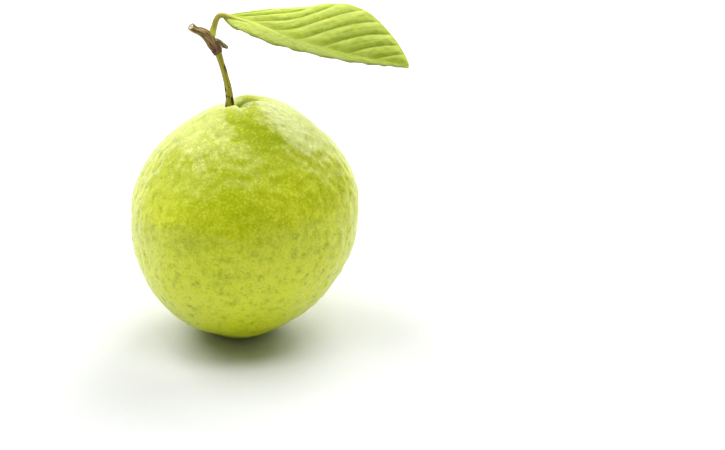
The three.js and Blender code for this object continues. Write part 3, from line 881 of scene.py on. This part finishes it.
vein = np.maximum(bell(away, 0.6), 0.45 * finer) * smooth(0.0, 0.1, 1 - np.abs(across))
rounded = np.abs(np.sin(np.pi * phase))
swell = (0.65 * rounded + 0.35 * (1 - vein)) * from_rib * from_edge
# The blade swells between the veins, is finely bumpy, waves a little at its edge and thins out there.
place, square = blade_frame(run, across)
flat_place = np.stack([run * length, across * half, 0 * run], -1)
height = PANEL_SWELL * (swell - 0.5) + 0.06 * waves(flat_place, 3.0, 51) * from_rib
wavy_edge = smooth(0.75, 1, np.abs(across)) * smooth(2, 8, half)
height += 0.2 * np.sin(phase * np.pi * 2 + 0.6) * wavy_edge
thin = 0.5 * LEAF_THICKNESS * (1 - 0.5 * smooth(1.2, 0.0, from_margin))
height += np.where(upper > 0, thin, -thin - 0.22 * vein * from_rib)
blade = closed_piece(
    "leaf_blade", place + height[..., None] * square, soft_leaf_blade(),
    blade=flat_place, vein=vein, upper=upper,
    # Painted shade on each panel, towards one of its veins.
    panel=(phase - np.floor(phase)) * smooth(-6, 8, from_middle),
    # Painted shade on the near half.
    near=smooth(0.5, 1.5, -across * half) * smooth(-0.05, 0.45, run),
    # Painted shade in lines beside the near half's midrib and margin.
    fold=(across < 0) * (bell(from_margin, 0.8) + 0.8 * bell(from_middle - 1.5, 0.8)),
)
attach(blade, "root")
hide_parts("leaf")


def leaf_stalk_rind():
    """The leaf stalk and midrib are smooth and yellow-green, mottled with olive, and brighter at the
    swollen foot and along the midrib."""
    rind, shader = finish("leaf_stalk_rind", {
        "IOR": 1.45,
        "Subsurface Weight": 0.2,
        "Subsurface Radius": (1.0, 1.0, 0.3),
        "Subsurface Scale": 0.6 * MM,
    })
    place = node(rind, "Attribute", {}, attribute_name="limb").outputs["Vector"]
    rib = node(rind, "Attribute", {}, attribute_name="rib").outputs["Fac"]
    foot = node(rind, "Attribute", {}, attribute_name="foot").outputs["Fac"]
    lengthwise = node(rind, "Mapping", {"Vector": place, "Scale": (1.0, 1.0, 0.15)})
    fibre = node(rind, "TexNoise", {"Vector": lengthwise, "Scale": 2.0, "Detail": 3.0})
    blotch = node(rind, "TexNoise", {"Vector": place, "Scale": 0.5, "Detail": 2.0})
    paint = tinted(rind, colour("a0942a"), "c2be48", fibre, 0.3, 0.7)
    paint = tinted(rind, paint, "7f7420", blotch, 0.5, 0.75, most=0.5)
    paint = tinted(rind, paint, "cdd04a", foot)
    paint = tinted(rind, paint, "c6cf50", rib)
    bump = node(rind, "Bump", {"Height": fibre, "Distance": 0.05 * MM})
    rough = node(rind, "MapRange", {"Value": blotch, "To Min": 0.4, "To Max": 0.55})
    wire(shader, {"Base Color": paint, "Normal": bump, "Roughness": rough})
    return rind


RIB_LINE = PETIOLE_LINE[:-1] + MIDRIB_LINE[1:]
RIB_STEPS = [0, 0.02, 0.05, 0.1, 0.14, 0.18, 0.25, 0.4, 0.6, 0.8, 0.95, 1.0]
RIB_RADII = [1.45, 1.35, 1.15, 1.1, 1.0, 0.92, 0.85, 0.72, 0.55, 0.42, 0.3, 0.12]
share = np.linspace(0, 1, 260)[:, None]
turn = 2 * np.pi * np.arange(36)[None, :] / 36
radius = np.interp(share, RIB_STEPS, RIB_RADII)
own = own_place(RIB_LINE, share, turn, radius)
above = smooth(0.1, 0.9, -np.sin(turn)) * smooth(0.13, 0.2, share)
groove = 0.3 * bell(np.sin(turn) + 1, 0.12) * smooth(0.03, 0.08, share) * smooth(0.17, 0.12, share)
rib_reach = radius * (1 - 0.35 * above - groove) + 0.03 * waves(own, 1.3, 61, stretch=(1, 1, 6))
rib = closed_piece(
    "leaf_stalk_and_midrib", limb(RIB_LINE, share, turn, rib_reach), leaf_stalk_rind(), limb=own,
    rib=smooth(0.12, 0.2, share) + 0 * turn, foot=smooth(0.06, 0.02, share) + 0 * turn,
)
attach(rib, "root")


# ---- Floor, light and camera --------------------------------------------------------------------
# A plain white board under soft even light. A long soft box hangs over it, behind the fruit on the left,
# and a small one in front. A large one shines down from behind on the right, and a wide panel stands low
# at the back. The camera looks down at the fruit from the front. Places are metres and powers watts.

FLOOR_HALF = 3.0
WORLD_LIGHT = 0.17
MIDDLE = Vector((0.004, 0.0, 0.05))  # near the middle of the fruit


def soft_box(name, place, towards, size, power, roll=0.0):
    """A rectangular light: place, the point it faces, width and height, power, and roll in degrees."""
    lamp = bpy.data.lights.new(name, "AREA")
    lamp.shape = "RECTANGLE"
    lamp.size, lamp.size_y = size
    lamp.energy = power
    made = bpy.data.objects.new(name, lamp)
    facing = (Vector(towards) - Vector(place)).to_track_quat("-Z", "Y")
    made.location = place
    made.rotation_euler = (facing @ Quaternion((0, 0, 1), math.radians(roll))).to_euler()
    bpy.context.scene.collection.objects.link(made)


def matt_white_board():
    """White laminated board: even, almost matt, with a faint paper grain."""
    board, shader = finish("matt_white_board", {"IOR": 1.4})
    place = node(board, "TexCoord", {}).outputs["Object"]
    grain = node(board, "TexNoise", {"Vector": place, "Scale": per(2.0), "Detail": 2.0})
    paint = tinted(board, colour("d7d8d9"), "dbdcdd", grain)
    rough = node(board, "MapRange", {"Value": grain, "To Min": 0.6, "To Max": 0.7})
    wire(shader, {"Base Color": paint, "Roughness": rough})
    return board


board = bpy.data.meshes.new("floor")
corners = [(-1, -1, 0), (1, -1, 0), (1, 1, 0), (-1, 1, 0)]
board.from_pydata([(FLOOR_HALF * x, FLOOR_HALF * y, z) for x, y, z in corners], [], [(0, 1, 2, 3)])
board.materials.append(matt_white_board())
floor = bpy.data.objects.new("floor", board)
bpy.context.scene.collection.objects.link(floor)

soft_box("overhead_soft_box", (-0.95, 0.57, 1.15), (-0.95, 0.57, 0), (0.93, 2.3), 27, roll=22)
soft_box("small_front_soft_box", (0.17, -0.3, 1.15), (0.17, -0.3, 0), (0.66, 0.33), 5)
soft_box("back_right_soft_box", (0.578, 0.718, 0.97), MIDDLE, (1.2, 1.0), 17)
soft_box("low_back_panel", (0.0, 1.6, 0.45), MIDDLE, (3.2, 0.95), 14)

world = bpy.data.worlds.new("studio")
world.use_nodes = True
world.node_tree.nodes["Background"].inputs["Color"].default_value = (1, 1, 1, 1)
world.node_tree.nodes["Background"].inputs["Strength"].default_value = WORLD_LIGHT
bpy.context.scene.world = world
bpy.context.scene.view_settings.view_transform = "Standard"

lens = bpy.data.cameras.new("camera")
lens.lens = 85
lens.sensor_width = 36
camera = bpy.data.objects.new("camera", lens)
camera.location = (0.0486, -0.60587, 0.28791)
camera.rotation_euler = (math.radians(68), 0, 0)
bpy.context.scene.collection.objects.link(camera)
bpy.context.scene.camera = camera

bpy.context.view_layer.update()
